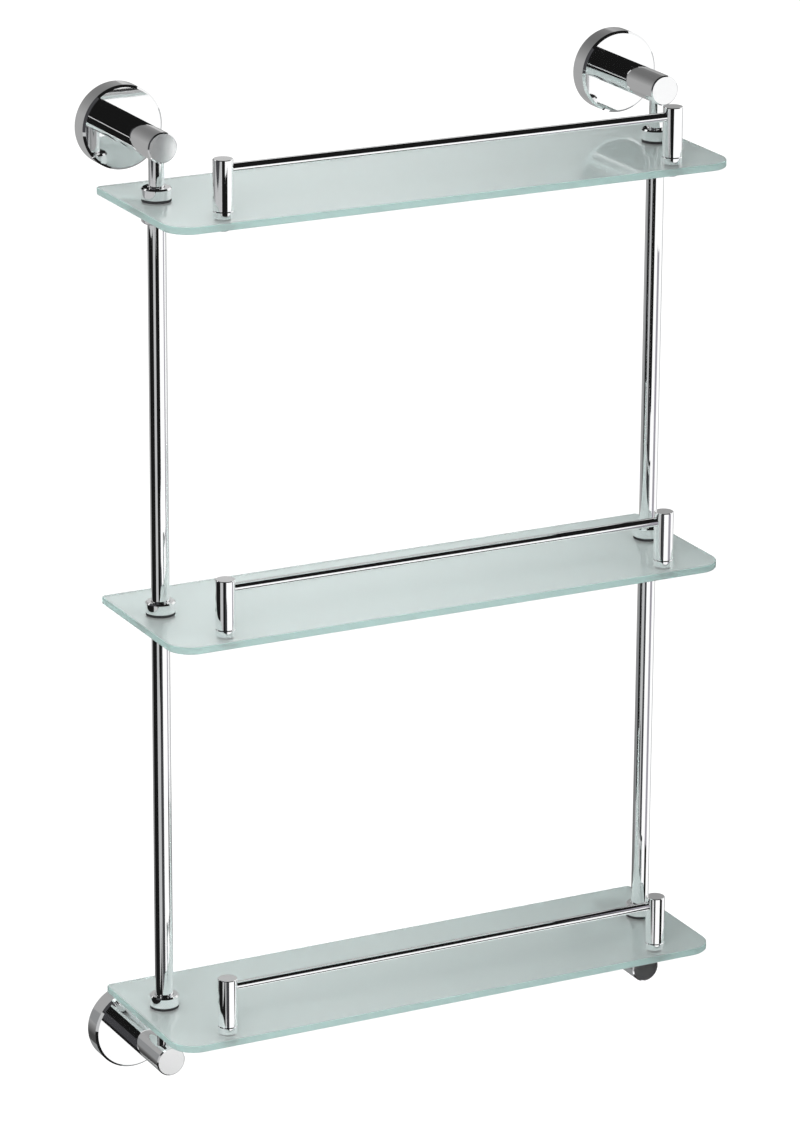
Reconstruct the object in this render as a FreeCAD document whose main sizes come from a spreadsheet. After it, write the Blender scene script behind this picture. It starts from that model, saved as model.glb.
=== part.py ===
import FreeCAD, Part
import os
import re
import Sketcher

# Glass wall shelf: three frosted glass shelves on two chromed uprights, held by four round wall brackets.
# Millimetres, +Z up, +X to the right along the wall, +Y into the wall.
# The origin lies on the wall, in the middle of the four brackets, level with the middle shelf's top face.

SIZES = [
    ("glass_width", 400, "shelf glass, along the wall"),
    ("glass_depth", 120, "shelf glass, out from the wall"),
    ("glass_thickness", 5, "shelf glass"),
    ("front_corner_radius", 17, "shelf glass, the two front corners"),
    ("rear_corner_radius", 3, "shelf glass, the two rear corners"),
    ("glass_arris", 0.5, "ground bevel round both faces of the glass"),
    ("glass_setback", 14, "rear edge of the glass to the wall"),
    ("shelf_pitch", 274, "from one shelf to the next"),
    ("arm_rise", 36, "bracket arm's axis above the top shelf, or below the bottom shelf's top face"),
    ("rod_inset", 20, "axis of an upright and its brackets, in from the end of the glass"),
    ("rod_standoff", 64, "axis of the uprights to the wall"),
    ("rosette_diameter", 55, "round wall cup"),
    ("rosette_depth", 14, "wall cup, out from the wall"),
    ("rosette_face", 2.5, "wall cup, thickness of its face"),
    ("rosette_wall", 2, "wall cup, thickness of its rim"),
    ("rosette_bevel", 1.5, "wall cup, front edge"),
    ("plate_clearance", 0.2, "wall plate's edge to the inside of the cup's rim"),
    ("plate_thickness", 5, "wall plate"),
    ("plate_hole_spacing", 28, "between the wall plate's two screw holes"),
    ("plate_hole_diameter", 5, "wall plate's screw holes"),
    ("plate_countersink", 9.6, "wall plate's screw holes, at their mouth"),
    ("arm_diameter", 20, "bracket arm"),
    ("arm_overhang", 10.5, "bracket arm's front end past the axis of the upright"),
    ("arm_bevel", 0.8, "bracket arm, edge of its front end"),
    ("socket_depth", 6, "stem's socket, from the side of the arm"),
    ("edge_bevel", 0.4, "broken edges of the turned pieces"),
    ("arm_screw_diameter", 6, "screw from the cup into the arm"),
    ("arm_screw_grip", 10, "arm screw, length in the arm"),
    ("arm_screw_head", 10, "arm screw, head diameter"),
    ("arm_screw_head_height", 3, "arm screw"),
    ("arm_screw_head_room", 2, "wall plate's centre hole to the arm screw's head"),
    ("grub_diameter", 3, "grub screw in the cup's rim"),
    ("grub_length", 3, "grub screw"),
    ("grub_recess", 0.4, "grub screw's end below the rim's surface"),
    ("rod_diameter", 12, "uprights between the shelves"),
    ("stem_diameter", 10, "uprights between shelf and bracket"),
    ("stud_diameter", 6, "threaded studs in the uprights"),
    ("stud_grip", 10, "studs, length in a rod"),
    ("stud_head_grip", 9, "studs, length in an arm"),
    ("collar_diameter", 19.5, "ring that an upright stands in"),
    ("collar_height", 7.5, "ring"),
    ("collar_recess", 3, "ring, depth of the seat for the upright"),
    ("collar_bevel", 1, "ring, outer edge away from the glass"),
    ("washer_diameter", 19, "rubber washer between ring and glass"),
    ("washer_thickness", 1.5, "rubber washer"),
    ("glass_hole_diameter", 10, "holes for the uprights' studs"),
    ("post_end_inset", 40, "gallery post's axis, in from the end of the glass"),
    ("post_front_inset", 14, "gallery post's axis, behind the front edge of the glass"),
    ("post_diameter", 13, "gallery post and its foot ring"),
    ("post_height", 33, "gallery post above its foot ring"),
    ("foot_height", 4.5, "foot ring"),
    ("rail_diameter", 6, "gallery rail"),
    ("rail_height", 31, "gallery rail's axis above the glass"),
    ("rail_grip", 5, "gallery rail, length in each post"),
    ("post_hole_diameter", 6, "holes in the glass for the post screws"),
    ("post_screw_diameter", 4, "screw from beneath the glass into the post"),
    ("post_screw_grip", 10, "post screw, length in the post"),
    ("post_screw_head", 8, "post screw, head diameter"),
    ("post_screw_head_height", 2.6, "post screw"),
    ("post_washer_diameter", 11, "plastic washer under the post screw's head"),
    ("post_washer_thickness", 1, "plastic washer"),
    ("slide_clearance", 0.1, "round pieces in their holes, on the radius"),
    ("tip_gap", 0.5, "bottom of a blind hole past the end of what it holds"),
]

doc = FreeCAD.newDocument("GlassWallShelf")
sheet = doc.addObject("Spreadsheet::Sheet", "Dimensions")
for row, (name, size, meaning) in enumerate(SIZES, 1):
    sheet.set(f"A{row}", name)
    sheet.set(f"B{row}", str(size))
    sheet.setAlias(f"B{row}", name)
    sheet.set(f"C{row}", meaning)
doc.recompute()

# Places and sizes that follow from the driving ones, as formulas
rod_place = "(glass_width / 2 - rod_inset)"
post_place = "(glass_width / 2 - post_end_inset)"
arm_radius = "(arm_diameter / 2)"
arm_height = "(shelf_pitch + arm_rise)"
arm_length = "(rod_standoff + arm_overhang - rosette_depth)"
plate_radius = "(rosette_diameter / 2 - rosette_wall - plate_clearance)"
grub_tip_radius = "(rosette_diameter / 2 - grub_recess - grub_length)"
socket_floor = f"({arm_radius} - socket_depth)"
stud_bore = "(stud_diameter / 2 + slide_clearance)"
seat_height = "(washer_thickness + collar_height - collar_recess)"
rod_length = f"(shelf_pitch - glass_thickness - 2 * {seat_height})"
upper_stem_length = f"(arm_rise - {seat_height} - {socket_floor})"
lower_stem_length = f"({upper_stem_length} - glass_thickness)"
stem_stud_reach = f"({socket_floor} - stud_head_grip)"
rail_length = f"(2 * {post_place} - post_diameter + 2 * rail_grip)"

SIDES = {"left": "-", "right": "+"}
LEVELS = {"upper": "+", "lower": "-"}
SHELF_TOPS = {"top": "+shelf_pitch", "middle": "0", "bottom": "-shelf_pitch"}

X_AXIS = FreeCAD.Vector(1, 0, 0)
Y_AXIS = FreeCAD.Vector(0, 1, 0)
Z_AXIS = FreeCAD.Vector(0, 0, 1)
UPRIGHT = FreeCAD.Rotation()
UPSIDE_DOWN = FreeCAD.Rotation(X_AXIS, 180)
ALONG_X = FreeCAD.Rotation(Y_AXIS, 90)
AGAINST_X = FreeCAD.Rotation(Y_AXIS, -90)
AGAINST_Y = FreeCAD.Rotation(X_AXIS, 90)
OUT_OF_WALL = AGAINST_Y
OUT_OF_WALL_TURNED = OUT_OF_WALL * FreeCAD.Rotation(Z_AXIS, 180)

nodes = []


def bound(formula):
    """The formula with each named size read from the sheet."""
    return re.sub(r"[a-z_]+", lambda name: "Dimensions." + name.group(), formula)


def value(formula):
    """What the formula gives for the sizes in the sheet."""
    return float(sheet.evalExpression(bound(formula)))


def place(piece, x, y, z, turn=UPRIGHT):
    """Turns the piece and ties its place to formulas."""
    piece.Placement = FreeCAD.Placement(FreeCAD.Vector(), turn)
    for axis, formula in zip("xyz", (x, y, z)):
        piece.setExpression("Placement.Base." + axis, bound(formula))
    return piece


def new_body(label):
    body = doc.addObject("PartDesign::Body", label)
    body.Label = label
    return body


def new_sketch(body, name, role):
    """An empty sketch on one of the body's own origin planes."""
    sketch = body.newObject("Sketcher::SketchObject", f"{body.Label}_{name}")
    plane = next(feature for feature in body.Origin.OriginFeatures if feature.Role == role)
    sketch.AttachmentSupport = [(plane, "")]
    sketch.MapMode = "FlatFace"
    return sketch


def fix_point(sketch, geometry, point, x, y):
    """Ties a sketch point to formulas for its distance from the sketch's origin."""
    for kind, axis, formula in (("DistanceX", -2, x), ("DistanceY", -1, y)):
        size = value(formula)
        if size == 0:
            sketch.addConstraint(Sketcher.Constraint("PointOnObject", geometry, point, axis))
            continue
        index = sketch.addConstraint(Sketcher.Constraint(kind, -1, 1, geometry, point, size))
        sketch.setExpression(f"Constraints[{index}]", bound(formula))


def draw_outline(sketch, corners):
    """A closed outline of straight lines through corners given as pairs of formulas."""
    points = [FreeCAD.Vector(value(x), value(y), 0) for x, y in corners]
    ends = points[1:] + points[:1]
    sketch.addGeometry([Part.LineSegment(start, end) for start, end in zip(points, ends)], False)
    count = len(points)
    sketch.addConstraint([Sketcher.Constraint("Coincident", i, 2, (i + 1) % count, 1) for i in range(count)])
    for line, (x, y) in enumerate(corners):
        fix_point(sketch, line, 1, x, y)


def draw_circles(sketch, places, diameter):
    """Circles of one diameter, with their centres at pairs of formulas."""
    for x, y in places:
        centre = FreeCAD.Vector(value(x), value(y), 0)
        circle = sketch.addGeometry(Part.Circle(centre, Z_AXIS, value(diameter) / 2), False)
        fix_point(sketch, circle, 3, x, y)
        index = sketch.addConstraint(Sketcher.Constraint("Diameter", circle, value(diameter)))
        sketch.setExpression(f"Constraints[{index}]", bound(diameter))


def turned(label, outline):
    """A piece turned about its own Z axis, from (radius, height) corners."""
    body = new_body(label)
    sketch = new_sketch(body, "outline", "XZ_Plane")
    draw_outline(sketch, outline)
    turning = body.newObject("PartDesign::Revolution", label + "_turning")
    turning.Profile = sketch
    turning.ReferenceAxis = (sketch, ["V_Axis"])
    turning.Angle = 360
    return body


def drill(body, name, radius, length, x, y, z, turn=UPRIGHT):
    """A round hole that starts at a place in the body's own frame and runs along its turned Z axis."""
    hole = body.newObject("PartDesign::SubtractiveCylinder", f"{body.Label}_{name}")
    hole.setExpression("Radius", bound(radius))
    hole.setExpression("Height", bound(length))
    place(hole, x, y, z, turn)


def ring(label, inner_radius, outer_radius, height):
    return turned(label, [
        (inner_radius, "0"),
        (outer_radius, "0"),
        (outer_radius, height),
        (inner_radius, height),
    ])


def bar(label, diameter, length):
    """A plain round bar along its own Z axis."""
    cylinder = doc.addObject("Part::Cylinder", label)
    cylinder.Label = label
    cylinder.setExpression("Radius", bound(f"{diameter} / 2"))
    cylinder.setExpression("Height", bound(length))
    return cylinder


def headed_screw(label, diameter, length, head, head_height):
    """A screw that stands on its head, with its shank upwards."""
    return turned(label, [
        ("0", "0"),
        (f"{head} / 2 - edge_bevel", "0"),
        (f"{head} / 2", "edge_bevel"),
        (f"{head} / 2", head_height),
        (f"{diameter} / 2", head_height),
        (f"{diameter} / 2", f"{head_height} + {length}"),
        ("0", f"{head_height} + {length}"),
    ])


def group(label, pieces):
    """Loose pieces of one kind, kept together under one name."""
    compound = doc.addObject("Part::Compound", label)
    compound.Label = label
    compound.Links = pieces
    return compound


def edges_where(feature, test):
    return [f"Edge{number}" for number, edge in enumerate(feature.Shape.Edges, 1) if test(edge)]


def wall_plate(label):
    """Flat disc, screwed to the wall through two countersunk holes, with a dimple for the grub screw."""
    body = ring(label, "arm_screw_head / 2 + arm_screw_head_room", plate_radius, "plate_thickness")
    sketch = new_sketch(body, "screw_places", "XY_Plane")
    sketch.setExpression("AttachmentOffset.Base.z", bound("plate_thickness"))
    places = [("0", f"{sign}plate_hole_spacing / 2") for sign in "+-"]
    draw_circles(sketch, places, "plate_hole_diameter")
    doc.recompute()
    holes = body.newObject("PartDesign::Hole", label + "_screw_holes")
    holes.Profile = sketch
    holes.DepthType = "ThroughAll"
    holes.setExpression("Diameter", bound("plate_hole_diameter"))
    holes.HoleCutType = "Countersink"
    holes.setExpression("HoleCutDiameter", bound("plate_countersink"))
    holes.HoleCutCountersinkAngle = 90
    drill(body, "dimple", "grub_diameter / 2 + slide_clearance", "grub_length",
          "0", f"slide_clearance - {grub_tip_radius}", "plate_thickness / 2", AGAINST_Y)
    return body


def rosette(label):
    """Round cup that hides the wall plate; its rim has a hole below for the grub screw."""
    screw_bore = "(arm_screw_diameter / 2 + slide_clearance)"
    radius = "rosette_diameter / 2"
    inner_face = "rosette_depth - rosette_face"
    body = turned(label, [
        (screw_bore, inner_face),
        (f"{radius} - rosette_wall", inner_face),
        (f"{radius} - rosette_wall", "0"),
        (radius, "0"),
        (radius, "rosette_depth - rosette_bevel"),
        (f"{radius} - rosette_bevel", "rosette_depth"),
        (screw_bore, "rosette_depth"),
    ])
    drill(body, "grub_hole", "grub_diameter / 2 + slide_clearance", "rosette_diameter",
          "0", "0", "plate_thickness / 2", AGAINST_Y)
    return body


def arm(label):
    """Round bar tapped behind for the arm screw, with a socket and a tapped hole in its side for a stem."""
    screw_bore = "(arm_screw_diameter / 2 + slide_clearance)"
    screw_hole = "arm_screw_grip + tip_gap"
    stem_place = f"{arm_length} - arm_overhang"
    body = turned(label, [
        ("0", screw_hole),
        (screw_bore, screw_hole),
        (screw_bore, "0"),
        (arm_radius, "0"),
        (arm_radius, f"{arm_length} - arm_bevel"),
        (f"{arm_radius} - arm_bevel", arm_length),
        ("0", arm_length),
    ])
    drill(body, "stem_socket", "stem_diameter / 2 + slide_clearance", "arm_diameter",
          "0", f"-{socket_floor}", stem_place, AGAINST_Y)
    drill(body, "stud_hole", stud_bore, "stud_head_grip + tip_gap",
          "0", f"-{stem_stud_reach} + tip_gap", stem_place, AGAINST_Y)
    return body


def rod(label):
    """Upright bar between two shelves, with a tapped hole in each end."""
    hole = "(stud_grip + tip_gap)"
    return turned(label, [
        ("0", hole),
        (stud_bore, hole),
        (stud_bore, "0"),
        ("rod_diameter / 2", "0"),
        ("rod_diameter / 2", rod_length),
        (stud_bore, rod_length),
        (stud_bore, f"{rod_length} - {hole}"),
        ("0", f"{rod_length} - {hole}"),
    ])


def collar(label, upright_diameter):
    """Ring that stands on the glass by its flat side and takes the end of an upright in its seat."""
    seat = f"({upright_diameter} / 2 + slide_clearance)"
    floor = "collar_height - collar_recess"
    return turned(label, [
        (stud_bore, "0"),
        ("collar_diameter / 2 - edge_bevel", "0"),
        ("collar_diameter / 2", "edge_bevel"),
        ("collar_diameter / 2", "collar_height - collar_bevel"),
        ("collar_diameter / 2 - collar_bevel", "collar_height"),
        (f"{seat} + edge_bevel", "collar_height"),
        (seat, "collar_height - edge_bevel"),
        (seat, floor),
        (stud_bore, floor),
    ])


def glass_shelf(label):
    """Glass plate with rounded corners, ground edges and four holes."""
    body = new_body(label)
    sketch = new_sketch(body, "outline", "XY_Plane")
    draw_outline(sketch, [
        ("0", "0"),
        ("glass_width", "0"),
        ("glass_width", "glass_depth"),
        ("0", "glass_depth"),
    ])
    pad = body.newObject("PartDesign::Pad", label + "_plate")
    pad.Profile = sketch
    pad.setExpression("Length", bound("glass_thickness"))
    last = pad
    rear = value("glass_depth")
    for name, edge_y, radius in (("front", 0, "front_corner_radius"), ("rear", rear, "rear_corner_radius")):
        doc.recompute()
        corners = body.newObject("PartDesign::Fillet", f"{label}_{name}_corners")
        corners.Base = (last, edges_where(
            last, lambda edge: edge.BoundBox.ZLength > 1e-6 and abs(edge.CenterOfMass.y - edge_y) < 1e-6))
        corners.setExpression("Radius", bound(radius))
        last = corners
    doc.recompute()
    arris = body.newObject("PartDesign::Chamfer", label + "_arris")
    arris.Base = (last, edges_where(last, lambda edge: edge.BoundBox.ZLength < 1e-6))
    arris.setExpression("Size", bound("glass_arris"))
    rod_y = "glass_depth + glass_setback - rod_standoff"
    for name, x, y, diameter in (("rod_holes", rod_place, rod_y, "glass_hole_diameter"),
                                 ("post_holes", post_place, "post_front_inset", "post_hole_diameter")):
        sketch = new_sketch(body, name + "_places", "XY_Plane")
        places = [(f"glass_width / 2 {sign} {x}", y) for sign in SIDES.values()]
        draw_circles(sketch, places, diameter)
        holes = body.newObject("PartDesign::Pocket", f"{label}_{name}")
        holes.Profile = sketch
        holes.Type = "ThroughAll"
        holes.Reversed = True
    return body


def gallery_post(label, inner_side):
    """Round post on its foot ring, tapped from below, with a blind hole for the rail in its inner side."""
    screw_bore = "(post_screw_diameter / 2 + slide_clearance)"
    screw_hole = "post_screw_grip + tip_gap"
    body = turned(label, [
        ("0", screw_hole),
        (screw_bore, screw_hole),
        (screw_bore, "0"),
        ("post_diameter / 2 - edge_bevel", "0"),
        ("post_diameter / 2", "edge_bevel"),
        ("post_diameter / 2", "post_height - edge_bevel"),
        ("post_diameter / 2 - edge_bevel", "post_height"),
        ("0", "post_height"),
    ])
    hole_bottom = f"{inner_side}(post_diameter / 2 - rail_grip - tip_gap)"
    turn = ALONG_X if inner_side == "+" else AGAINST_X
    drill(body, "rail_hole", "rail_diameter / 2 + slide_clearance", "post_diameter",
          hole_bottom, "0", "rail_height - foot_height", turn)
    return body


def foot_ring(label):
    """Ring under a gallery post, of the post's own diameter."""
    bore = "(post_screw_diameter / 2 + slide_clearance)"
    return turned(label, [
        (bore, "0"),
        ("post_diameter / 2", "0"),
        ("post_diameter / 2", "foot_height - edge_bevel"),
        ("post_diameter / 2 - edge_bevel", "foot_height"),
        (bore, "foot_height"),
    ])


# Wall brackets: plate, cup and arm, one at each end of each upright
arm_screws = []
grub_screws = []
for level, up in LEVELS.items():
    z = f"{up}{arm_height}"
    turn = OUT_OF_WALL if level == "upper" else OUT_OF_WALL_TURNED
    for side, sign in SIDES.items():
        x = f"{sign}{rod_place}"
        corner = f"{level}_{side}"
        nodes.append(place(wall_plate("wall_plate_" + corner), x, "0", z, OUT_OF_WALL))
        nodes.append(place(rosette("rosette_" + corner), x, "0", z, OUT_OF_WALL))
        nodes.append(place(arm("arm_" + corner), x, "-rosette_depth", z, turn))
        screw = headed_screw("arm_screw_" + corner, "arm_screw_diameter", "rosette_face + arm_screw_grip",
                             "arm_screw_head", "arm_screw_head_height")
        screw_y = "-(rosette_depth - rosette_face - arm_screw_head_height)"
        arm_screws.append(place(screw, x, screw_y, z, OUT_OF_WALL))
        grub = bar("grub_screw_" + corner, "grub_diameter", "grub_length")
        grub_z = f"{z} - (rosette_diameter / 2 - grub_recess)"
        grub_screws.append(place(grub, x, "-plate_thickness / 2", grub_z))
nodes.append(group("arm_screws", arm_screws))
nodes.append(group("rosette_grub_screws", grub_screws))

# Uprights: a stem, a rod, a rod and a stem on each side, pulled together by studs
stem_studs = []
rod_studs = []
for side, sign in SIDES.items():
    x = f"{sign}{rod_place}"
    y = "-rod_standoff"
    upper_rod_foot = seat_height
    upper_rod_head = f"({upper_rod_foot} + {rod_length})"
    lower_rod_head = f"(-glass_thickness - {seat_height})"
    lower_rod_foot = f"({lower_rod_head} - {rod_length})"
    upper_stem_foot = f"(shelf_pitch + {seat_height})"
    lower_stem_foot = f"({socket_floor} - {arm_height})"
    nodes.append(place(ring("upper_stem_" + side, stud_bore, "stem_diameter / 2", upper_stem_length),
                       x, y, upper_stem_foot))
    nodes.append(place(rod("upper_rod_" + side), x, y, upper_rod_foot))
    nodes.append(place(rod("lower_rod_" + side), x, y, lower_rod_foot))
    nodes.append(place(ring("lower_stem_" + side, stud_bore, "stem_diameter / 2", lower_stem_length),
                       x, y, lower_stem_foot))
    stud_top = f"({arm_height} - {stem_stud_reach})"
    upper_stud = bar("upper_stem_stud_" + side, "stud_diameter", f"{stud_top} - {upper_rod_head} + stud_grip")
    stem_studs.append(place(upper_stud, x, y, f"{upper_rod_head} - stud_grip"))
    lower_stud = bar("lower_stem_stud_" + side, "stud_diameter", f"{stud_top} + {lower_rod_foot} + stud_grip")
    stem_studs.append(place(lower_stud, x, y, f"-{stud_top}"))
    middle_stud = bar("rod_stud_" + side, "stud_diameter",
                      f"{upper_rod_foot} - {lower_rod_head} + 2 * stud_grip")
    rod_studs.append(place(middle_stud, x, y, f"{lower_rod_head} - stud_grip"))
nodes.append(group("stem_studs", stem_studs))
nodes.append(group("rod_studs", rod_studs))

# Shelves: the glass, the collars that clamp it, and the gallery along its front edge
washers = []
sleeves = []
feet = []
post_screws = []
post_washers = []
for shelf, top in SHELF_TOPS.items():
    underside = f"{top} - glass_thickness"
    front_y = "-(glass_setback + glass_depth)"
    nodes.append(place(glass_shelf("glass_shelf_" + shelf), "-glass_width / 2", front_y, underside))
    above = "stem_diameter" if shelf == "top" else "rod_diameter"
    below = "stem_diameter" if shelf == "bottom" else "rod_diameter"
    for side, sign in SIDES.items():
        spot = f"{shelf}_{side}"
        x = f"{sign}{rod_place}"
        y = "-rod_standoff"
        nodes.append(place(collar("collar_above_" + spot, above), x, y, f"{top} + washer_thickness"))
        nodes.append(place(collar("collar_below_" + spot, below), x, y,
                           f"{underside} - washer_thickness", UPSIDE_DOWN))
        for name, z in (("above", top), ("below", f"{underside} - washer_thickness")):
            washer = ring(f"washer_{name}_{spot}", stud_bore, "washer_diameter / 2", "washer_thickness")
            washers.append(place(washer, x, y, z))
        sleeve = ring("sleeve_" + spot, stud_bore,
                      "glass_hole_diameter / 2 - slide_clearance", "glass_thickness")
        sleeves.append(place(sleeve, x, y, underside))
        inner_side = "+" if side == "left" else "-"
        x = f"{sign}{post_place}"
        y = f"{front_y} + post_front_inset"
        nodes.append(place(gallery_post("gallery_post_" + spot, inner_side), x, y, f"{top} + foot_height"))
        feet.append(place(foot_ring("foot_ring_" + spot), x, y, top))
        post_washer = ring("post_washer_" + spot, "post_screw_diameter / 2 + slide_clearance",
                           "post_washer_diameter / 2", "post_washer_thickness")
        post_washers.append(place(post_washer, x, y, f"{underside} - post_washer_thickness"))
        shank = "post_washer_thickness + glass_thickness + foot_height + post_screw_grip"
        screw = headed_screw("post_screw_" + spot, "post_screw_diameter", shank,
                             "post_screw_head", "post_screw_head_height")
        screw_z = f"{underside} - post_washer_thickness - post_screw_head_height"
        post_screws.append(place(screw, x, y, screw_z))
    rail = bar("gallery_rail_" + shelf, "rail_diameter", rail_length)
    nodes.append(place(rail, f"-{rail_length} / 2", f"{front_y} + post_front_inset",
                       f"{top} + rail_height", ALONG_X))
nodes.append(group("collar_washers", washers))
nodes.append(group("hole_sleeves", sleeves))
nodes.append(group("post_foot_rings", feet))
nodes.append(group("post_screws", post_screws))
nodes.append(group("post_screw_washers", post_washers))

doc.recompute()
for piece in doc.Objects:
    if "Invalid" in piece.State or "Error" in piece.State:
        raise RuntimeError(f"{piece.Label} failed: {piece.State}")
for node in nodes:
    if node.Shape.isNull() or not node.Shape.isValid():
        raise RuntimeError(f"{node.Label} has no valid shape")

os.makedirs("parts", exist_ok=True)
for node in nodes:
    node.Shape.exportStep(f"parts/{node.Label}.step")
print(len(nodes), "sub-parts written")
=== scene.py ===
import math
import bmesh
import bpy
from mathutils import Matrix, Vector


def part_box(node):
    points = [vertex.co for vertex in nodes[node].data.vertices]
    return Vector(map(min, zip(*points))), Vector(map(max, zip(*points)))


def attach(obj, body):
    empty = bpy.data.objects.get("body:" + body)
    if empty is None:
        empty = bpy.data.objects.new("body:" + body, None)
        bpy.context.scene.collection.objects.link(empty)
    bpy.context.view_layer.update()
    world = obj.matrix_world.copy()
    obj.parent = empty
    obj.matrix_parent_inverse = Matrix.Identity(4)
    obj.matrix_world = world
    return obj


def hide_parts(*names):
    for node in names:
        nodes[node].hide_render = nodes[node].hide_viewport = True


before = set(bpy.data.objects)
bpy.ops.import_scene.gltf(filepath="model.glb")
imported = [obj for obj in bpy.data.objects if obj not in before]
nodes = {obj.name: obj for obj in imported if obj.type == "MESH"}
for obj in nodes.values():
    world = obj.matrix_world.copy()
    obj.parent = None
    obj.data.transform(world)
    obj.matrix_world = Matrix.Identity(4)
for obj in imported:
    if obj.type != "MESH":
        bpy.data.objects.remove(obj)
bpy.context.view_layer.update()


# Wall plates: four stamped steel discs, zinc plated, screwed flat to the wall through two countersunk holes.
# The wall cups hide them, so they show only from behind.
def node_maker(material):
    """A short way to add shader nodes to a material and to link them."""
    tree = material.node_tree

    def add(kind, links=(), **settings):
        node = tree.nodes.new(kind)
        for name, setting in settings.items():
            if name in node.bl_rna.properties:
                setattr(node, name, setting)
            else:
                node.inputs[name.replace("_", " ")].default_value = setting
        for socket, source in links:
            tree.links.new(source, node.inputs[socket])
        return node

    return add


def empty_material(name):
    """A material without nodes, and the way to add them."""
    material = bpy.data.materials.new(name)
    material.use_nodes = True
    material.node_tree.nodes.clear()
    return material, node_maker(material)


def new_material(name):
    """A material with its surface node and its output."""
    material, add = empty_material(name)
    surface = add("ShaderNodeBsdfPrincipled")
    add("ShaderNodeOutputMaterial", [("Surface", surface.outputs["BSDF"])])
    return material, surface, add


def link(material, source, target):
    material.node_tree.links.new(source, target)


def surface_noise(add, stretch, size, detail):
    """Noise on the piece's own coordinates, with speckles of a size in metres, longer along some axes."""
    coordinates = add("ShaderNodeTexCoord")
    mapping = add("ShaderNodeMapping", [("Vector", coordinates.outputs["Object"])], Scale=stretch)
    return add("ShaderNodeTexNoise", [("Vector", mapping.outputs["Vector"])], Scale=1 / size, Detail=detail)


# The Mix node's sockets, by number because its colours and its plain numbers share their names
FIRST_COLOUR, SECOND_COLOUR, MIXED_COLOUR = 6, 7, 2
FIRST_NUMBER, SECOND_NUMBER, MIXED_NUMBER = 2, 3, 0


def two_tones(add, noise, low, high):
    """Blends two colours by the noise."""
    blend = add("ShaderNodeMix", [("Factor", noise.outputs["Fac"])], data_type="RGBA")
    blend.inputs[FIRST_COLOUR].default_value = (*low, 1)
    blend.inputs[SECOND_COLOUR].default_value = (*high, 1)
    return blend.outputs[MIXED_COLOUR]


def spread(add, noise, low, high):
    """Turns the noise into numbers from low to high."""
    numbers = add("ShaderNodeMapRange", [("Value", noise.outputs["Fac"])], To_Min=low, To_Max=high)
    return numbers.outputs["Result"]


def bumpy(material, surface, add, height, strength, distance):
    """Shades the surface as if it rose by the height, up to a distance in metres."""
    bump = add("ShaderNodeBump", [("Height", height)], Strength=strength, Distance=distance)
    link(material, bump.outputs["Normal"], surface.inputs["Normal"])


def dress(material, *starts):
    """Gives the material to every CAD node whose name starts with one of these words."""
    for name, node in nodes.items():
        if name.startswith(starts):
            for holder in node.material_slots:
                holder.material = material


even = (1, 1, 1)
zinc, surface, add = new_material("zinc_plated_steel")
surface.inputs["Metallic"].default_value = 1
spangle = surface_noise(add, even, size=0.004, detail=4)
tones = two_tones(add, spangle, low=(0.40, 0.42, 0.45), high=(0.78, 0.79, 0.80))
link(zinc, tones, surface.inputs["Base Color"])
link(zinc, spread(add, spangle, low=0.22, high=0.50), surface.inputs["Roughness"])
grain = surface_noise(add, (1, 1, 6), size=0.0012, detail=3)
bumpy(zinc, surface, add, grain.outputs["Fac"], strength=0.12, distance=0.0003)
dress(zinc, "wall_plate", "stem_studs", "rod_studs")


# Wall cups and arms: turned brass, polished and chromed. A cup slides over its wall plate and a grub screw
# locks it from below; the arm is screwed to the cup's face from inside and has a duller, faced front end.
def own_place(add):
    """The piece's own coordinates, as separate numbers."""
    coordinates = add("ShaderNodeTexCoord")
    return add("ShaderNodeSeparateXYZ", [("Vector", coordinates.outputs["Object"])]).outputs


def worked_out(add, operation, number, *constants):
    """A sum or comparison of one number with the constants that follow it."""
    node = add("ShaderNodeMath", [(0, number)], operation=operation)
    for socket, constant in enumerate(constants, 1):
        node.inputs[socket].default_value = constant
    return node.outputs[0]


def polished_chrome(name, stretch, faced_end=None):
    """Bright plating with the faint haze that polishing leaves, and duller where Y is below a faced end."""
    material, surface, add = new_material(name)
    surface.inputs["Metallic"].default_value = 1
    haze = surface_noise(add, stretch, size=0.006, detail=4)
    tones = two_tones(add, haze, low=(0.88, 0.885, 0.89), high=(0.93, 0.933, 0.935))
    link(material, tones, surface.inputs["Base Color"])
    roughness = spread(add, haze, low=0.02, high=0.055)
    if faced_end is not None:
        on_end = worked_out(add, "LESS_THAN", own_place(add)["Y"], faced_end)
        dulled = add("ShaderNodeMix", [("Factor", on_end), (FIRST_NUMBER, roughness)], data_type="FLOAT")
        link(material, spread(add, haze, low=0.17, high=0.23), dulled.inputs[SECOND_NUMBER])
        roughness = dulled.outputs[MIXED_NUMBER]
    link(material, roughness, surface.inputs["Roughness"])
    ripple = surface_noise(add, stretch, size=0.012, detail=1)
    bumpy(material, surface, add, ripple.outputs["Fac"], strength=0.02, distance=0.0004)
    return material


turned_along_y = (1, 0.25, 1)
end_margin = 0.0002
just_inside_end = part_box("arm_upper_left")[0][1] + end_margin
dress(polished_chrome("chrome_turned_along_y", turned_along_y), "rosette")
dress(polished_chrome("chrome_with_faced_end", turned_along_y, just_inside_end), "arm_")


# Uprights: drawn and chromed rods between the shelves and thinner stems at the brackets.
# Threaded studs inside pull them together through the glass.
drawn_along_z = (1, 1, 0.15)
drawn_chrome = polished_chrome("chrome_drawn_along_z", drawn_along_z)
dress(drawn_chrome, "upper_rod", "lower_rod", "upper_stem", "lower_stem")


# Collars: chromed rings above and below the glass, each with a seat for the upright. A rubber washer lies
# between each collar and the glass, and a plastic sleeve lines the hole in the glass.
turned_along_z = (1, 1, 0.6)
turned_chrome = polished_chrome("chrome_turned_along_z", turned_along_z)
dress(turned_chrome, "collar_above", "collar_below")

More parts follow.
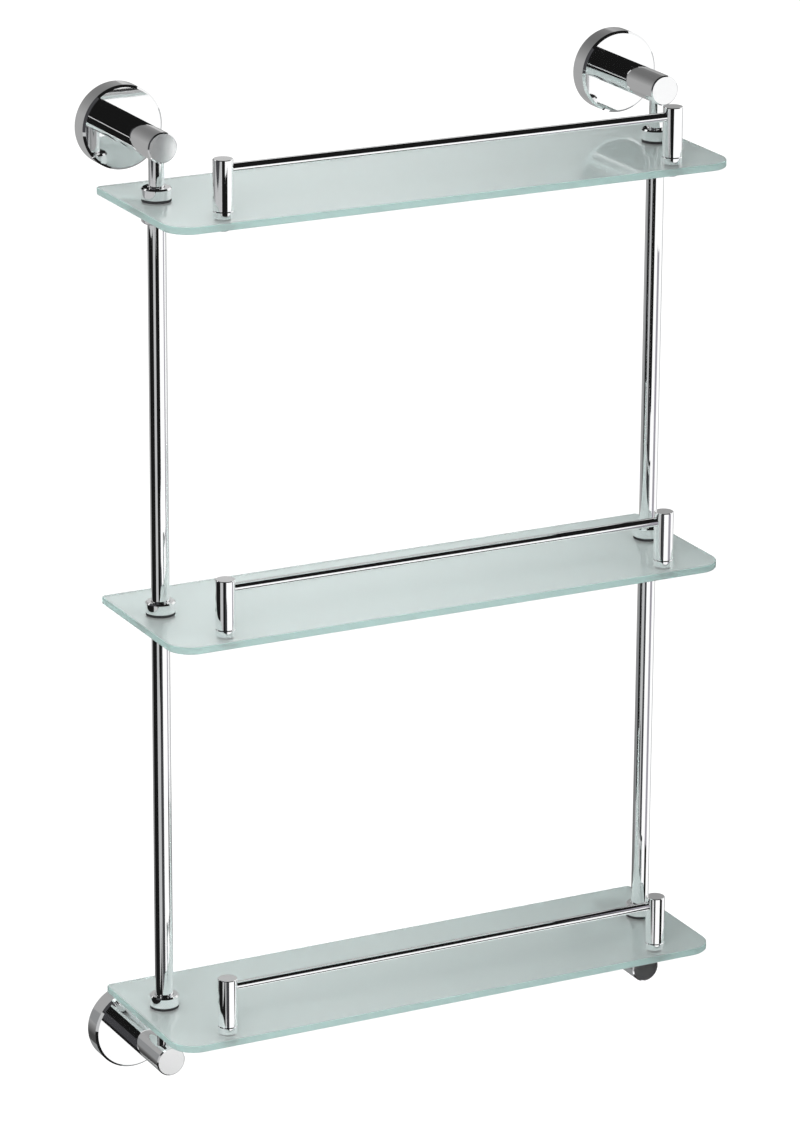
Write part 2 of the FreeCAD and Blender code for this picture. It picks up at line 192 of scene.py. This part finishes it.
rubber, surface, add = new_material("washer_rubber")
bloom = surface_noise(add, even, size=0.003, detail=5)
tones = two_tones(add, bloom, low=(0.018, 0.018, 0.02), high=(0.05, 0.05, 0.052))
link(rubber, tones, surface.inputs["Base Color"])
link(rubber, spread(add, bloom, low=0.55, high=0.8), surface.inputs["Roughness"])
dress(rubber, "collar_washers")

plastic, surface, add = new_material("sleeve_plastic")
surface.inputs["IOR"].default_value = 1.5
milkiness = surface_noise(add, even, size=0.005, detail=3)
tones = two_tones(add, milkiness, low=(0.72, 0.75, 0.74), high=(0.82, 0.84, 0.83))
link(plastic, tones, surface.inputs["Base Color"])
link(plastic, spread(add, milkiness, low=0.3, high=0.45), surface.inputs["Roughness"])
dress(plastic, "hole_sleeves", "post_screw_washers")


# Shelves: float glass, polished on top and etched satin beneath, with ground edges, rounded corners and four
# drilled holes. Each is clamped between its collars.
satin_glass, surface, add = new_material("satin_glass")
surface.inputs["Transmission Weight"].default_value = 0.60
surface.inputs["IOR"].default_value = 1.5
body_tint = add("ShaderNodeVolumeAbsorption", Color=(0.40, 0.92, 0.88, 1), Density=14)
output = satin_glass.node_tree.get_output_node("ALL")
link(satin_glass, body_tint.outputs["Volume"], output.inputs["Volume"])

# Faces and edges are told apart by height, counted from half way between two shelves up to the next top face.
shelf_pitch = 0.274
glass_thickness = 0.005
face_margin = 0.0002
count_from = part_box("glass_shelf_middle")[1][2] - shelf_pitch / 2
counted = worked_out(add, "SUBTRACT", own_place(add)["Z"], count_from)
folded = worked_out(add, "FLOORED_MODULO", counted, shelf_pitch)
etched = worked_out(add, "LESS_THAN", folded, shelf_pitch / 2 - face_margin)
edge_middle = (shelf_pitch - glass_thickness) / 2
edge = worked_out(add, "COMPARE", folded, edge_middle, glass_thickness / 2 - face_margin)

cloud = surface_noise(add, even, size=0.03, detail=3)
etching = surface_noise(add, even, size=0.0008, detail=3)
face_colour = two_tones(add, cloud, low=(0.93, 0.985, 0.975), high=(0.95, 0.995, 0.985))
edge_colour = two_tones(add, etching, low=(0.66, 0.83, 0.80), high=(0.72, 0.87, 0.84))
colour = add("ShaderNodeMix", [("Factor", edge)], data_type="RGBA")
link(satin_glass, face_colour, colour.inputs[FIRST_COLOUR])
link(satin_glass, edge_colour, colour.inputs[SECOND_COLOUR])
link(satin_glass, colour.outputs[MIXED_COLOUR], surface.inputs["Base Color"])
roughness = add("ShaderNodeMix", [("Factor", etched)], data_type="FLOAT")
link(satin_glass, spread(add, cloud, low=0.03, high=0.07), roughness.inputs[FIRST_NUMBER])
link(satin_glass, spread(add, etching, low=0.29, high=0.36), roughness.inputs[SECOND_NUMBER])
link(satin_glass, roughness.outputs[MIXED_NUMBER], surface.inputs["Roughness"])
pits = add("ShaderNodeMath", [(0, etched), (1, etching.outputs["Fac"])], operation="MULTIPLY")
bumpy(satin_glass, surface, add, pits.outputs[0], strength=0.05, distance=0.0001)
dress(satin_glass, "glass_shelf")


# Gallery: a chromed rail in two posts along the front of each shelf. Each post stands on a foot ring
# and is held by a screw from beneath the glass.
drawn_along_x = (0.15, 1, 1)
dress(turned_chrome, "gallery_post", "post_foot")
dress(polished_chrome("chrome_drawn_along_x", drawn_along_x), "gallery_rail")


# Fasteners: zinc plated steel screws, each with its drive cut into the head. Six pan heads hold the posts
# from below the glass, four socket screws hold the arms, and four grub screws lock the wall cups.
def circle(diameter):
    """An outline, as the reach from the middle at each angle."""
    return lambda angle: diameter / 2


def hexagon(across_flats):
    sixth = math.radians(60)
    return lambda angle: across_flats / 2 / math.cos((angle + sixth / 2) % sixth - sixth / 2)


def cross(length, width):
    quarter = math.radians(90)
    along_an_arm = 0.001

    def reach(angle):
        fold = abs((angle + quarter / 2) % quarter - quarter / 2)
        if fold < along_an_arm:
            return length / 2
        return min(length / 2 / math.cos(fold), width / 2 / math.sin(fold))

    return reach


def screw_pattern(name, drive_floor, drive_mouth, drive_depth, body):
    """One screw, drive down: a skin over the drive's outlines and the body's (diameter, height) rings."""
    sides = 24
    sharpest_smooth = math.radians(35)
    rings = [(drive_floor, drive_depth), (drive_mouth, 0)]
    rings += [(circle(diameter), height) for diameter, height in body]
    shape = bmesh.new()
    loops = []
    for outline, height in rings:
        loop = []
        for side in range(sides):
            angle = math.tau * side / sides
            reach = outline(angle)
            loop.append(shape.verts.new((reach * math.cos(angle), reach * math.sin(angle), height)))
        loops.append(loop)
    for lower, upper in zip(loops, loops[1:]):
        for side in range(sides):
            following = (side + 1) % sides
            shape.faces.new((lower[side], lower[following], upper[following], upper[side]))
    shape.faces.new(loops[0])
    shape.faces.new(loops[-1])
    bmesh.ops.recalc_face_normals(shape, faces=shape.faces)
    for face in shape.faces:
        face.smooth = True
    mesh = bpy.data.meshes.new(name)
    shape.to_mesh(mesh)
    shape.free()
    mesh.set_sharp_from_angle(angle=sharpest_smooth)
    return bpy.data.objects.new(name, mesh)


def fastener_grid():
    """The tree that sets one screw out on an upright grid of columns and rows."""
    tree = bpy.data.node_groups.new("fastener_grid", "GeometryNodeTree")
    for label, kind in (("Screw", "NodeSocketObject"), ("Finish", "NodeSocketMaterial"),
                        ("Columns", "NodeSocketInt"), ("Rows", "NodeSocketInt"),
                        ("Width", "NodeSocketFloat"), ("Height", "NodeSocketFloat"),
                        ("Middle", "NodeSocketVector"), ("Turn", "NodeSocketRotation")):
        tree.interface.new_socket(label, in_out="INPUT", socket_type=kind)
    tree.interface.new_socket("Screws", in_out="OUTPUT", socket_type="NodeSocketGeometry")

    def step(kind, **links):
        node = tree.nodes.new(kind)
        for socket, source in links.items():
            tree.links.new(source, node.inputs[socket.replace("_", " ")])
        return node

    sizes = step("NodeGroupInput").outputs
    flat = step("GeometryNodeMeshGrid", Size_X=sizes["Width"], Size_Y=sizes["Height"],
                Vertices_X=sizes["Columns"], Vertices_Y=sizes["Rows"])
    upright = step("GeometryNodeTransform", Geometry=flat.outputs["Mesh"], Translation=sizes["Middle"])
    upright.inputs["Rotation"].default_value = (math.radians(90), 0, 0)
    screw = step("GeometryNodeObjectInfo", Object=sizes["Screw"])
    placed = step("GeometryNodeInstanceOnPoints", Points=upright.outputs["Geometry"],
                  Instance=screw.outputs["Geometry"], Rotation=sizes["Turn"])
    real = step("GeometryNodeRealizeInstances", Geometry=placed.outputs["Instances"])
    finished = step("GeometryNodeSetMaterial", Geometry=real.outputs["Geometry"], Material=sizes["Finish"])
    step("NodeGroupOutput", Screws=finished.outputs["Geometry"])
    return tree


screw_tree = fastener_grid()


def set_out(name, node, pattern, **sizes):
    """Screws of one kind as a plain mesh, in the place of their CAD node."""
    piece = bpy.data.objects.new(name, bpy.data.meshes.new(name))
    bpy.context.scene.collection.objects.link(piece)
    modifier = piece.modifiers.new("grid", "NODES")
    modifier.node_group = screw_tree
    sizes.update(Screw=pattern, Finish=zinc)
    for socket in screw_tree.interface.items_tree:
        if socket.in_out == "INPUT":
            modifier[socket.identifier] = sizes[socket.name]
    evaluated = piece.evaluated_get(bpy.context.evaluated_depsgraph_get())
    mesh = bpy.data.meshes.new_from_object(evaluated)
    piece.modifiers.remove(modifier)
    piece.data = mesh
    bpy.data.objects.remove(pattern)
    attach(piece, "root")
    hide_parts(node)


heads_down = (0, 0, 0)
heads_to_wall = (math.radians(90), 0, 0)
bracket_spacing = 0.360
bracket_rise = 0.620

post_spacing = 0.320
post_y = -0.120
post_screw_z = -0.0086
pan_head = ((0.0056, 0), (0.0070, 0.0003), (0.0078, 0.0010), (0.0080, 0.0018), (0.0080, 0.0026),
            (0.0040, 0.0026), (0.0040, 0.0225), (0.0032, 0.0231))
post_screw = screw_pattern("post_screw", drive_floor=cross(length=0.0024, width=0.0007),
                           drive_mouth=cross(length=0.0040, width=0.00107), drive_depth=0.0016, body=pan_head)
set_out("post_screws_cross_drive", "post_screws", post_screw, Columns=2, Rows=3, Width=post_spacing,
        Height=2 * shelf_pitch, Middle=(0, post_y, post_screw_z), Turn=heads_down)

arm_screw_y = -0.0085
low_head = ((0.0088, 0), (0.0096, 0.0002), (0.0100, 0.0007), (0.0100, 0.0030),
            (0.0060, 0.0030), (0.0060, 0.0149), (0.0050, 0.0155))
arm_screw = screw_pattern("arm_screw", drive_floor=hexagon(across_flats=0.0039),
                          drive_mouth=hexagon(across_flats=0.0040), drive_depth=0.0018, body=low_head)
set_out("arm_screws_hex_socket", "arm_screws", arm_screw, Columns=2, Rows=2, Width=bracket_spacing,
        Height=bracket_rise, Middle=(0, arm_screw_y, 0), Turn=heads_to_wall)

grub_screw_y = -0.0025
grub_screw_drop = 0.0271
headless = ((0.0022, 0), (0.0030, 0.0004), (0.0030, 0.0026), (0.0022, 0.0030))
grub_screw = screw_pattern("grub_screw", drive_floor=hexagon(across_flats=0.00145),
                           drive_mouth=hexagon(across_flats=0.0015), drive_depth=0.0014, body=headless)
set_out("grub_screws_hex_socket", "rosette_grub_screws", grub_screw, Columns=2, Rows=2, Width=bracket_spacing,
        Height=bracket_rise, Middle=(0, grub_screw_y, -grub_screw_drop), Turn=heads_down)


# Studio: a pale floor far below the shelf, a white surround and two soft lamps. Dark and grey cards stand
# round the shelf, as a photographer sets them, and show only in the metal, on the glass or through it.
# Two black flags beside the shelves shade their right ends.
def graded(add, source, stops):
    """A level that follows one coordinate through pairs of a place and its level."""
    first, last = stops[0][0], stops[-1][0]
    along = add("ShaderNodeMapRange", [("Value", source)], From_Min=first, From_Max=last)
    ramp = add("ShaderNodeValToRGB", [("Fac", along.outputs["Result"])])
    shades = ramp.color_ramp.elements
    shades.remove(shades[1])
    for place, level in stops:
        shade = shades[0] if place == first else shades.new((place - first) / (last - first))
        shade.color = (level, level, level, 1)
    return ramp.outputs["Color"]


def glowing_panel(name, colour, across=(), upward=()):
    """A plain card colour, or one whose strength is graded across and upward."""
    material, add = empty_material(name)
    glow = add("ShaderNodeEmission", Color=(*colour, 1), Strength=1)
    add("ShaderNodeOutputMaterial", [("Surface", glow.outputs["Emission"])])
    if across:
        place = own_place(add)
        levels = [(0, graded(add, place["X"], across)), (1, graded(add, place["Z"], upward))]
        level = add("ShaderNodeMath", levels, operation="MULTIPLY")
        link(material, level.outputs[0], glow.inputs["Strength"])
    return material


def flat_panel(name, material, corners):
    mesh = bpy.data.meshes.new(name)
    mesh.from_pydata(corners, [], [range(len(corners))])
    mesh.materials.append(material)
    panel = bpy.data.objects.new(name, mesh)
    bpy.context.scene.collection.objects.link(panel)
    return panel


def level_corners(across, along, height):
    (x0, x1), (y0, y1) = across, along
    return [(x0, y0, height), (x1, y0, height), (x1, y1, height), (x0, y1, height)]


def card(name, material, corners, in_metal=True, through_glass=False, shades=False):
    """A flat card that the camera doesn't see: it shows in reflections or through the glass, or it shades."""
    panel = flat_panel(name, material, corners)
    panel.visible_camera = False
    panel.visible_diffuse = shades
    panel.visible_shadow = shades
    panel.visible_glossy = in_metal
    panel.visible_transmission = through_glass


def upright_card(name, material, left, right, heights, **shows):
    """A vertical card between two places on the floor plan."""
    low, high = heights
    card(name, material, [(*left, low), (*right, low), (*right, high), (*left, high)], **shows)


def level_card(name, material, across, along, height, **shows):
    card(name, material, level_corners(across, along, height), **shows)


def away(azimuth, distance):
    """The place on the floor plan at an azimuth in degrees, with the front at 0 and the left at -90."""
    turn = math.radians(azimuth)
    return distance * math.sin(turn), -distance * math.cos(turn)


black = glowing_panel("black_card", (0.01, 0.01, 0.01))
dark_grey = glowing_panel("dark_grey_card", (0.06, 0.06, 0.065))
table_grey = glowing_panel("table_grey_card", (0.27, 0.28, 0.28))
soft_grey = glowing_panel("soft_grey_card", (0.28, 0.285, 0.29))
lilac_grey = glowing_panel("lilac_grey_card", (0.36, 0.345, 0.385))
pale_grey = glowing_panel("pale_grey_card", (0.55, 0.555, 0.56))
white = (1, 1, 1)
fades_right = ((0.62, 1), (0.95, 0.62))
graded_grey = glowing_panel("graded_grey_card", white, across=fades_right,
                            upward=((-0.95, 0.07), (-0.45, 0.40), (0.45, 0.40), (1.10, 0.17)))
graded_pale = glowing_panel("graded_pale_card", white, across=fades_right,
                            upward=((-0.95, 0.07), (-0.45, 0.40), (0.28, 0.40), (0.48, 0.59), (0.81, 0.57),
                                    (0.92, 0.24), (1.10, 0.17)))
screen_grey = glowing_panel("screen_grey_card", (0.97, 1, 1), across=((0.78, 1), (0.95, 0.35)),
                            upward=((-0.90, 0.45), (-0.50, 0.90), (-0.10, 0.45)))

# On the left
upright_card("card_left_near", black, (-0.518, 0.097), (-0.540, -0.165), (-0.45, 0.16))
upright_card("card_left_behind", black, (-0.420, 0.244), (-0.518, 0.097), (-0.45, 0.16))
upright_card("card_left", pale_grey, away(-112, 1.3), away(-42, 1.3), (-1.15, 0.10))
upright_card("card_left_top", dark_grey, away(-130, 1.3), away(-42, 1.3), (0.10, 1.6))
upright_card("card_left_bracket", black, (-0.5, 0.10), (-0.5, -0.40), (-0.90, -0.40))

# In front
upright_card("card_bracket_front", dark_grey, (-0.95, -1.0), (-0.25, -1.0), (-0.75, -0.28))
upright_card("card_camera", black, away(-40, 1.5), away(-9, 1.5), (-0.35, 0.15))
upright_card("card_camera_low", dark_grey, away(-36, 1.5), away(-18, 1.5), (-1.15, -0.35))
upright_card("card_front_top", black, (-4, -2), (4, -2), (0.12, 2.6))
upright_card("card_front_near", black, (-0.40, -0.43), (-0.02, -0.43), (0.165, 0.225))
upright_card("card_left_front", black, (-0.75, -0.61), (-0.40, -0.61), (-0.31, 0.06))

# On the right, with the flags that shade the ends of the shelves
upright_card("card_right", lilac_grey, (0.321, -0.442), (0.482, -0.306), (-0.37, 0.10))
upright_card("card_right_low", black, (0.321, -0.442), (0.482, -0.306), (-0.52, -0.37))
upright_card("flag_low", black, (0.215, -0.32), (0.215, 0.10), (-0.30, 0.04), in_metal=False, shades=True)
upright_card("flag_top", black, (0.215, -0.32), (0.215, 0.10), (0.27, 0.60), in_metal=False, shades=True)

# Behind
upright_card("card_back", graded_grey, (0.40, 1.26), (-0.985, 1.26), (-1.15, 1.3))
upright_card("card_behind_glass", graded_pale, (1.35, 1.26), (0.40, 1.26), (-1.15, 1.3))
upright_card("card_back_right", pale_grey, away(98, 1.6), away(142, 1.6), (-1.15, 0.3))
upright_card("card_back_left", soft_grey, away(218, 1.6), away(246, 1.6), (-1.15, 0.3))
upright_card("screen_right", screen_grey, (0.78, 1.25), (1.6, 1.25), (-1.15, 0.6),
             in_metal=False, through_glass=True)

# Above and below
level_card("card_ceiling", black, (-2.5, 2.5), (-2.0, 1.5), 2.6)
level_card("card_floor_front", black, (-1.0, 0.5), (-2.0, -1.2), -1.15)
level_card("card_floor_right", black, (0.2, 1.4), (-1.45, -0.65), -1.15)
level_card("card_below", black, (-0.5, 0.35), (-0.3, 0.4), -0.9)
level_card("card_table", table_grey, (-0.3, 1.3), (0.1, 1.1), -0.75, through_glass=True)


def seen_directly(add):
    """1 for what the camera, the metal and the glass see, 0 for light on its way to a dull surface."""
    path = add("ShaderNodeLightPath").outputs
    either = [(0, path["Is Camera Ray"]), (1, path["Is Glossy Ray"])]
    shiny = add("ShaderNodeMath", either, operation="MAXIMUM")
    through = [(0, shiny.outputs[0]), (1, path["Is Transmission Ray"])]
    return add("ShaderNodeMath", through, operation="MAXIMUM").outputs[0]


floor_level = -4
floor_span = (-30, 30)
floor_glow = 0.42
floor_paint, add = empty_material("pale_floor")
lift = add("ShaderNodeMapRange", [("Value", seen_directly(add))], To_Min=0, To_Max=floor_glow)
matte = add("ShaderNodeBsdfDiffuse", Color=(0.85, 0.85, 0.85, 1))
glow = add("ShaderNodeEmission", [("Strength", lift.outputs["Result"])], Color=(*white, 1))
both = add("ShaderNodeAddShader", [(0, matte.outputs[0]), (1, glow.outputs[0])])
add("ShaderNodeOutputMaterial", [("Surface", both.outputs[0])])
floor = flat_panel("floor", floor_paint, level_corners(floor_span, floor_span, floor_level))

fill_light = 0.83
world = bpy.data.worlds.new("studio")
bpy.context.scene.world = world
world.use_nodes = True
world.node_tree.nodes.clear()
add = node_maker(world)
level = add("ShaderNodeMapRange", [("Value", seen_directly(add))], To_Min=fill_light, To_Max=1)
sky = add("ShaderNodeBackground", [("Strength", level.outputs["Result"])], Color=(*white, 1))
add("ShaderNodeOutputWorld", [("Surface", sky.outputs[0])])


def softbox(name, place, size, power):
    """A square lamp that faces the shelf."""
    lamp = bpy.data.lights.new(name, "AREA")
    lamp.shape = "SQUARE"
    lamp.size = size
    lamp.energy = power
    holder = bpy.data.objects.new(name, lamp)
    holder.location = place
    holder.rotation_euler = Vector(place).to_track_quat("Z", "Y").to_euler()
    holder.visible_glossy = False
    bpy.context.scene.collection.objects.link(holder)


softbox("softbox_left", place=(-1.6, -1.8, 1.6), size=1.2, power=25)
softbox("softbox_right", place=(1.8, -1.4, 1.0), size=1.2, power=12)


# Camera: from the left and a little above, with a long lens, as in the photograph.
azimuth = math.radians(-27.057)
elevation = math.radians(18.417)
roll = math.radians(0.324)
target = Vector((-0.0076, -0.0650, 0.0112))
distance = 3.400
back = Vector((math.sin(azimuth) * math.cos(elevation), -math.cos(azimuth) * math.cos(elevation),
               math.sin(elevation)))
level_right = Vector((math.cos(azimuth), math.sin(azimuth), 0))
level_up = back.cross(level_right)
right = level_right * math.cos(roll) + level_up * math.sin(roll)
up = level_up * math.cos(roll) - level_right * math.sin(roll)
camera = bpy.data.objects.new("camera", bpy.data.cameras.new("camera"))
camera.data.sensor_width = 36
camera.data.lens = 166.1
camera.data.clip_end = 100
place = target + back * distance
camera.matrix_world = Matrix.Translation(place) @ Matrix((right, up, back)).transposed().to_4x4()
bpy.context.scene.collection.objects.link(camera)
bpy.context.scene.camera = camera

bpy.context.scene.view_settings.view_transform = "Standard"
